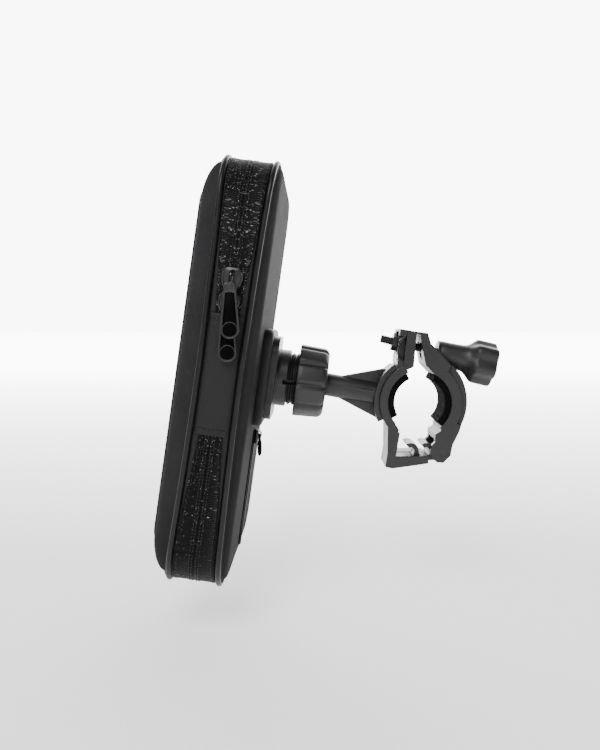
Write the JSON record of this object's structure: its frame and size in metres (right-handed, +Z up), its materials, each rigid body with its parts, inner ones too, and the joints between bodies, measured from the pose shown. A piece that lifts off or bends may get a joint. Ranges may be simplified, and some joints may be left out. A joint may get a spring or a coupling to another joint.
{
  "type": "bicycle phone mount",
  "caption": "Zipped phone case with a clear window on a ball joint, carried by a hinged two-jaw handlebar clamp with a thumb screw.",
  "frame": {"origin": "centre of the handlebar bore, midway across the clamp", "axes": "+Y along the handlebar, +Z up, +X from the case towards the clamp"},
  "size_m": [0.1465, 0.0985, 0.1742],
  "materials": {
    "moulded_plastic": "black ABS, fine spark-eroded texture",
    "knob_plastic": "black ABS, satin",
    "grip_rubber": "black rubber, cross-hatched",
    "black_steel": "black zinc",
    "liner_nylon": "natural nylon",
    "shell_fabric": "black heat-moulded EVA faced with fine coated fabric",
    "piping": "black coated welt cord",
    "zip_tape": "black woven polyester tape, coated",
    "hinge_fabric": "black coated fabric, stitched",
    "slider_metal": "gloss black",
    "pull_plastic": "black, semi-gloss",
    "foam": "black sponge foam",
    "clear_film": "clear TPU film"
  },
  "bodies": {
    "bar_clamp": {"fixed_jaw": "moulded_plastic", "fixed_jaw_pad": "grip_rubber", "ball_arm": "moulded_plastic", "hex_nut": "black_steel", "nut_washer": "black_steel"},
    "jaw": {"moving_jaw": "moulded_plastic", "moving_jaw_pad": "grip_rubber", "hinge_pin": "black_steel"},
    "screw_travel": {"knob_washer": "black_steel"},
    "thumb_screw": {"thumb_screw_shank": "black_steel", "thumb_screw_knob": "knob_plastic"},
    "roll_liner": {"inner_ball_liner": "liner_nylon"},
    "pitch_liner": {"outer_ball_liner": "liner_nylon"},
    "case": {"socket_plate": "moulded_plastic", "mount_pad": "shell_fabric", "backing_plate": "black_steel", "plate_screws": "black_steel", "rear_shell": "shell_fabric", "rear_piping": "piping", "rear_gusset": "zip_tape", "foam_insert": "foam", "pocket_zip": "zip_tape", "hinge_panel": "hinge_fabric"},
    "nut_travel": {"pressure_ring": "liner_nylon"},
    "nut": {"ring_nut": "moulded_plastic"},
    "cover": {"front_shell": "shell_fabric", "window": "clear_film", "window_binding": "piping", "front_piping": "piping", "front_gusset": "zip_tape", "near_tape": "zip_tape"},
    "lower_zip": {"lower_slider": "slider_metal"},
    "lower_zip_pull": {"lower_pull": "pull_plastic"},
    "upper_zip": {"upper_slider": "slider_metal"},
    "upper_zip_pull": {"upper_pull": "pull_plastic"},
    "pocket_zip_slider": {"pocket_slider": "slider_metal"},
    "pocket_zip_pull": {"pocket_pull": "pull_plastic"}
  },
  "joints": [
    {"name": "screw_slide", "type": "slide", "parent": "bar_clamp", "child": "screw_travel", "axis": [0.9724, 0, -0.2334], "range_m": [0, 0.0042]},
    {"name": "screw_turn", "type": "hinge", "parent": "screw_travel", "child": "thumb_screw", "pos_m": [0.00964, 0, 0.02169], "axis": [0.9724, 0, -0.2334], "range_deg": [0, 2160]},
    {"name": "jaw_open", "type": "hinge", "parent": "bar_clamp", "child": "jaw", "pos_m": [0.0101, 0, -0.0214], "axis": [0, 1, 0], "range_deg": [0, 4.9]},
    {"name": "ball_roll", "type": "hinge", "parent": "bar_clamp", "child": "roll_liner", "pos_m": [-0.0483, 0, 0.0087], "axis": [0.9906, 0, -0.1366], "continuous": true},
    {"name": "ball_pitch", "type": "hinge", "parent": "roll_liner", "child": "pitch_liner", "pos_m": [-0.0483, 0, 0.0087], "axis": [0, 1, 0], "range_deg": [-15, 15]},
    {"name": "ball_yaw", "type": "hinge", "parent": "pitch_liner", "child": "case", "pos_m": [-0.0483, 0, 0.0087], "axis": [0.1366, 0, 0.9906], "range_deg": [-15, 15]},
    {"name": "nut_slide", "type": "slide", "parent": "case", "child": "nut_travel", "axis": [0.9906, 0, -0.1366], "range_m": [0, 0.001]},
    {"name": "nut_turn", "type": "hinge", "parent": "nut_travel", "child": "nut", "pos_m": [-0.0483, 0, 0.0087], "axis": [0.9906, 0, -0.1366], "range_deg": [0, 180]},
    {"name": "cover_open", "type": "hinge", "parent": "case", "child": "cover", "pos_m": [-0.08811, -0.046, 0.01651], "axis": [0.1366, 0, 0.9906], "range_deg": [0, 100], "deforming": ["near_tape", "hinge_panel"]},
    {"name": "lower_zip_slide", "type": "slide", "parent": "case", "child": "lower_zip", "axis": [0.1366, 0, 0.9906], "range_m": [0, 0.014]},
    {"name": "upper_zip_slide", "type": "slide", "parent": "lower_zip", "child": "upper_zip", "axis": [0.1366, 0, 0.9906], "range_m": [0, 0.015]},
    {"name": "upper_pull_swing", "type": "hinge", "parent": "upper_zip", "child": "upper_zip_pull", "pos_m": [-0.07759, -0.0506, 0.04888], "axis": [-1, 0, 0], "range_deg": [0, 140]},
    {"name": "lower_pull_swing", "type": "hinge", "parent": "lower_zip", "child": "lower_zip_pull", "pos_m": [-0.07879, -0.0486, 0.04016], "axis": [-1, 0, 0], "range_deg": [0, 85]},
    {"name": "pocket_zip_slide", "type": "slide", "parent": "case", "child": "pocket_zip_slider", "axis": [-0.1366, 0, -0.9906], "range_m": [0, 0.042]},
    {"name": "pocket_pull_swing", "type": "hinge", "parent": "pocket_zip_slider", "child": "pocket_zip_pull", "pos_m": [-0.07058, 0, -0.01528], "axis": [0, -1, 0], "range_deg": [0, 100]}
  ],
  "couplings": [
    {"joint": "screw_turn", "follows": "screw_slide", "rad_per_m": 8975.9},
    {"joint": "jaw_open", "follows": "screw_slide", "rad_per_m": 19.945},
    {"joint": "nut_turn", "follows": "nut_slide", "rad_per_m": 3141.6},
    {"joint": "lower_pull_swing", "follows": "upper_pull_swing", "ratio": 0.6}
  ]
}
